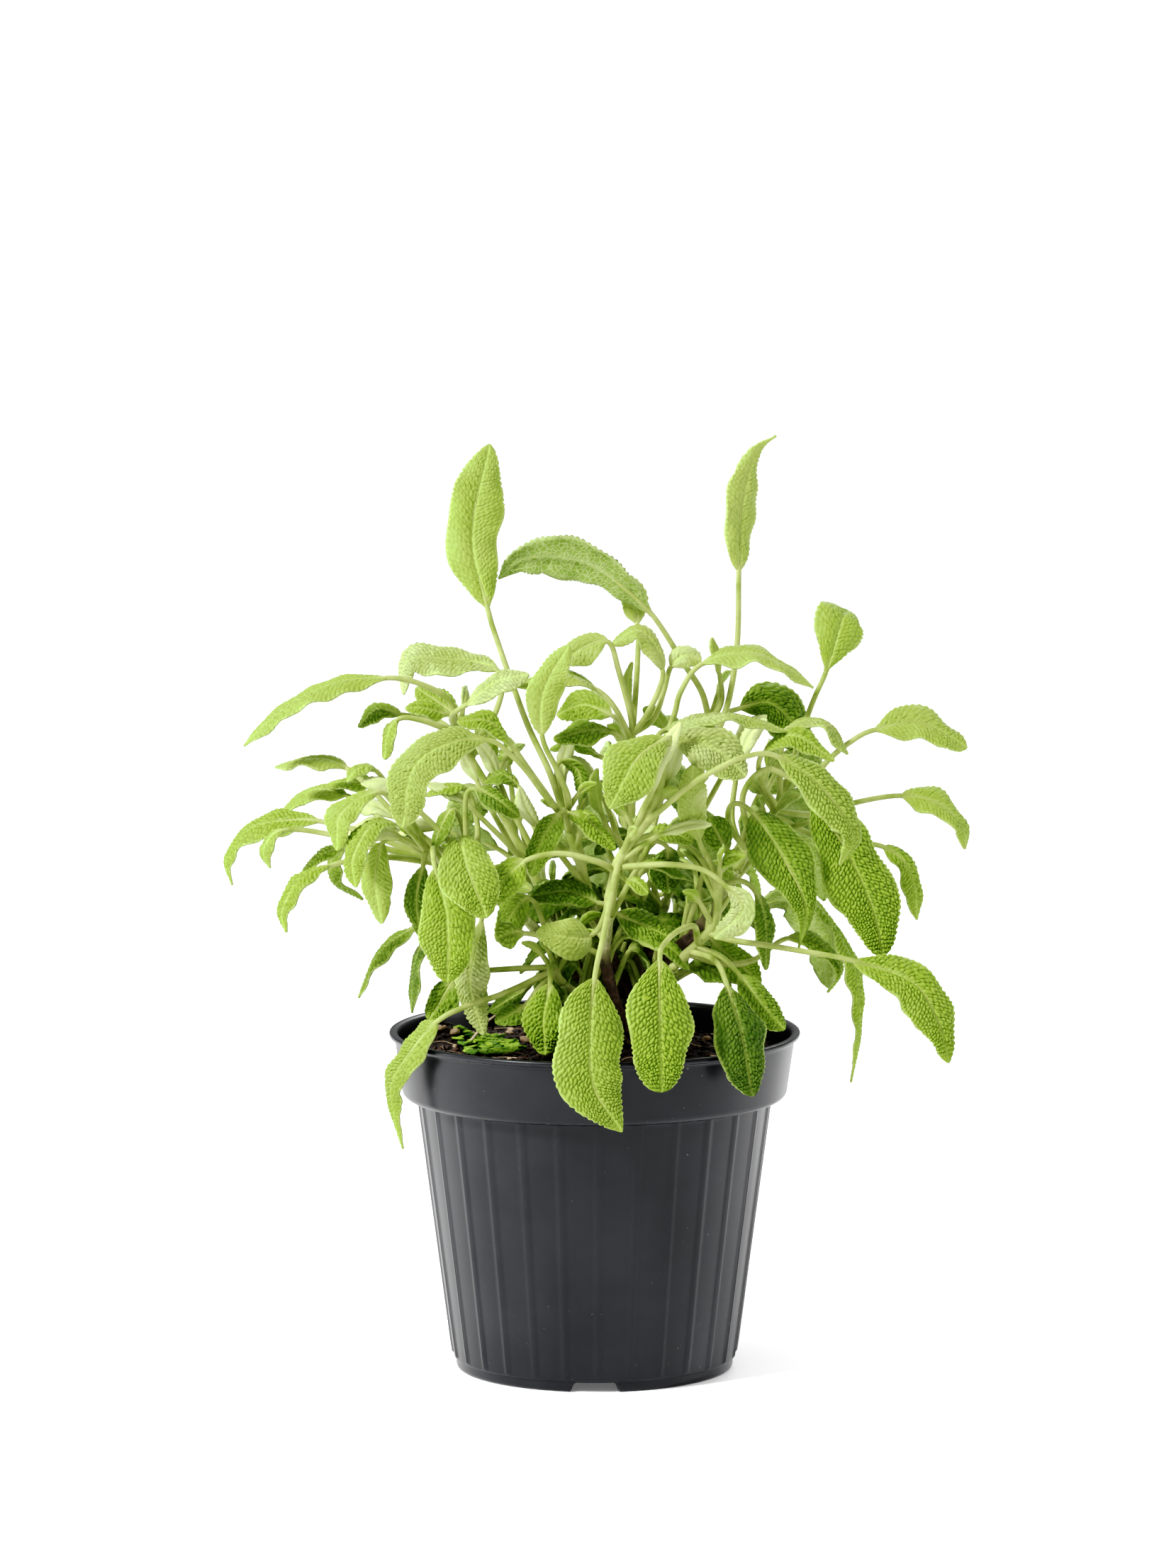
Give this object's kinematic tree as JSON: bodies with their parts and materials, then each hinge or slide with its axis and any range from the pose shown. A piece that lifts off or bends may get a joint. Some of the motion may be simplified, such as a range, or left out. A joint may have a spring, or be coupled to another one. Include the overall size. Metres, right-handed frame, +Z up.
{
  "type": "potted sage",
  "caption": "Young common sage with soft pebbled crenate leaves on branching stems, growing in a ribbed dark plastic herb pot filled with soil.",
  "frame": {"origin": "on the floor under the pot's axis, which is also the middle of the plant's spread", "axes": "+Z up along the pot's axis; the pictured front faces -Y; +X to the viewer's right"},
  "size_m": [0.2182, 0.1338, 0.273],
  "materials": {
    "pot_plastic": "satin",
    "soil": "matte",
    "bark": "matte",
    "leaf": "matte"
  },
  "bodies": {
    "root": {"pot": "pot_plastic", "soil": "soil", "woody_crown": "bark", "shoot_left_low": "leaf", "shoot_left_tip": "leaf", "shoot_centre_left": "leaf", "shoot_centre_top": "leaf", "shoot_front": "leaf", "shoot_front_low": "leaf", "shoot_right": "leaf", "shoot_right_top": "leaf", "shoot_back_tall": "leaf", "shoot_back_left": "leaf", "shoot_back_centre": "leaf", "shoot_back_right": "leaf"}
  },
  "joints": []
}
